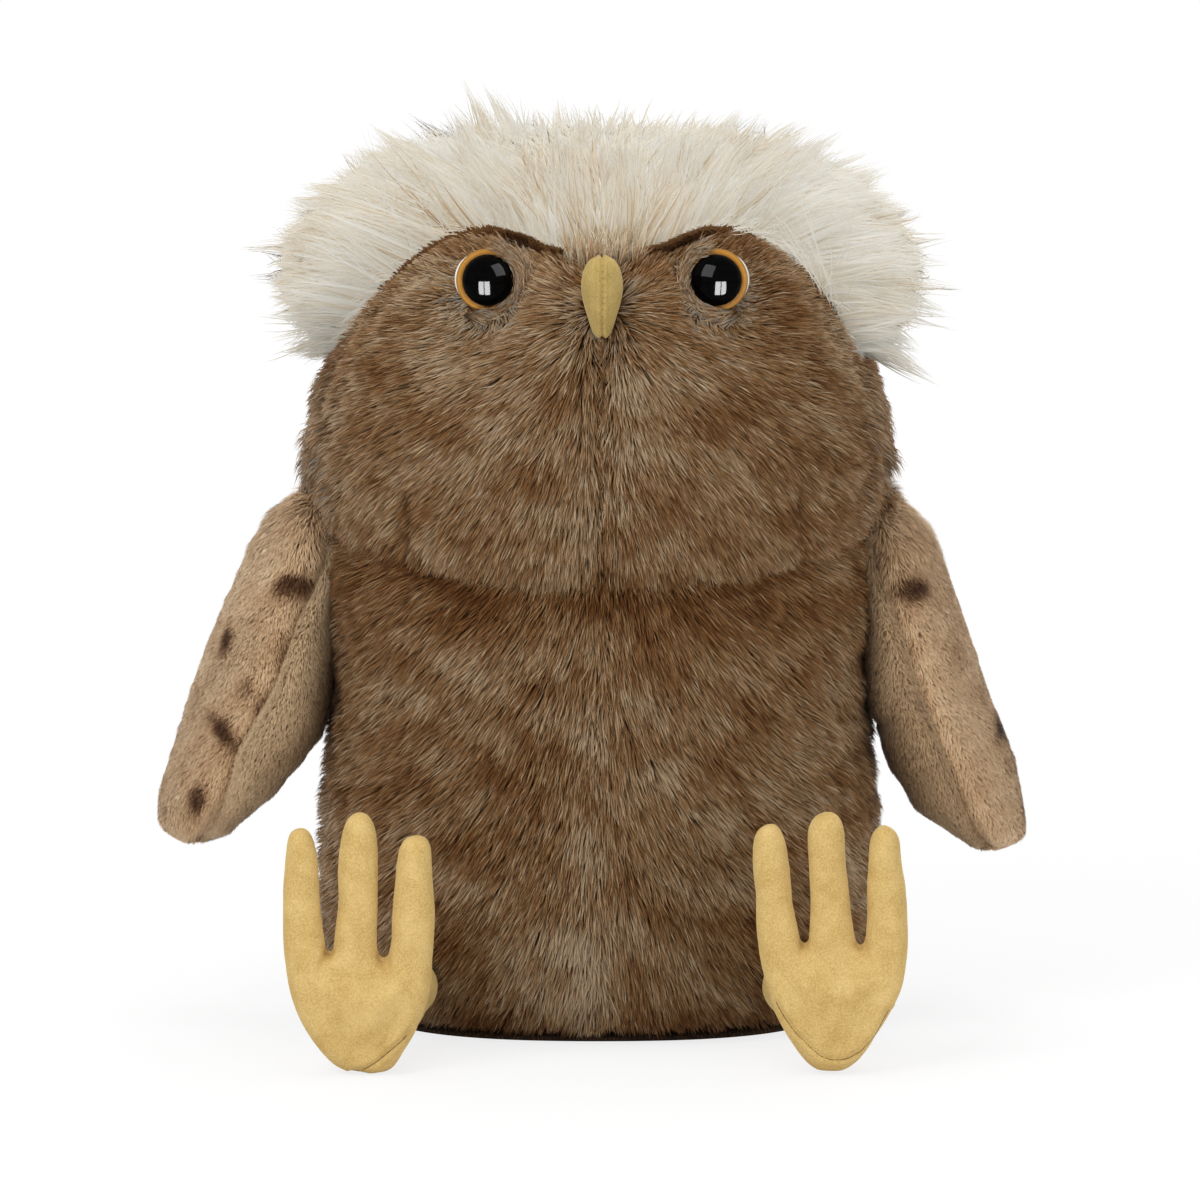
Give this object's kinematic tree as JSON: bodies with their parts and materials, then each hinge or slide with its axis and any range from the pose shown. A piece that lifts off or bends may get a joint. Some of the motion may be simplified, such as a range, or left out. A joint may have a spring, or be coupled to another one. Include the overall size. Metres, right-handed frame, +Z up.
{
  "type": "plush owl",
  "caption": "Sitting stuffed owl of long-pile cloth with a pale shaggy crown, swinging wings, and three-toed feet on swinging legs.",
  "frame": {"origin": "middle of the flat base panel, on the surface that the owl sits on", "axes": "+Z up; the owl looks along -Y; +X is to the right as seen from the front"},
  "size_m": [0.2576, 0.1841, 0.2748],
  "materials": {
    "brown_pile": "matte",
    "white_pile": "matte",
    "wing_spotted_pile": "matte",
    "wing_plain_pile": "matte",
    "base_cloth": "matte",
    "sueded_cloth": "matte",
    "beak_cloth": "matte",
    "black_plastic": "gloss",
    "amber_plastic": "satin",
    "washer_plastic": "satin",
    "stuffing": "matte",
    "pellet_cloth": "matte"
  },
  "bodies": {
    "torso_and_head": {"torso_front_left_panel": "brown_pile", "torso_front_right_panel": "brown_pile", "torso_back_panel": "brown_pile", "torso_base_panel": "base_cloth", "torso_stuffing": "stuffing", "pellet_bag": "pellet_cloth", "face_left_panel": "brown_pile", "face_right_panel": "brown_pile", "head_back_panel": "brown_pile", "crown_panel": "white_pile", "head_stuffing": "stuffing", "eye_left_dome": "black_plastic", "eye_right_dome": "black_plastic", "eye_left_iris_disc": "amber_plastic", "eye_right_iris_disc": "amber_plastic", "eye_left_washer": "washer_plastic", "eye_right_washer": "washer_plastic", "beak_left_half": "beak_cloth", "beak_right_half": "beak_cloth", "beak_stuffing": "stuffing"},
    "wing_left": {"wing_left_outer_panel": "wing_spotted_pile", "wing_left_inner_panel": "wing_plain_pile", "wing_left_stuffing": "stuffing"},
    "wing_right": {"wing_right_outer_panel": "wing_spotted_pile", "wing_right_inner_panel": "wing_plain_pile", "wing_right_stuffing": "stuffing"},
    "leg_left": {"leg_left": "sueded_cloth", "foot_left_front_panel": "sueded_cloth", "foot_left_back_panel": "sueded_cloth", "foot_left_stuffing": "stuffing"},
    "leg_right": {"leg_right": "sueded_cloth", "foot_right_front_panel": "sueded_cloth", "foot_right_back_panel": "sueded_cloth", "foot_right_stuffing": "stuffing"}
  },
  "joints": [
    {"name": "shoulder_left", "type": "hinge", "parent": "torso_and_head", "child": "wing_left", "pos_m": [-0.088, 0.006, 0.155], "axis": [0, 1, 0], "range_deg": [0, 85]},
    {"name": "shoulder_right", "type": "hinge", "parent": "torso_and_head", "child": "wing_right", "pos_m": [0.088, 0.006, 0.155], "axis": [0, -1, 0], "range_deg": [0, 85]},
    {"name": "hip_left", "type": "hinge", "parent": "torso_and_head", "child": "leg_left", "pos_m": [-0.0575, -0.059, 0.017], "axis": [-1, 0, 0], "range_deg": [-70, 15]},
    {"name": "hip_right", "type": "hinge", "parent": "torso_and_head", "child": "leg_right", "pos_m": [0.0575, -0.059, 0.017], "axis": [-1, 0, 0], "range_deg": [-70, 15]}
  ]
}
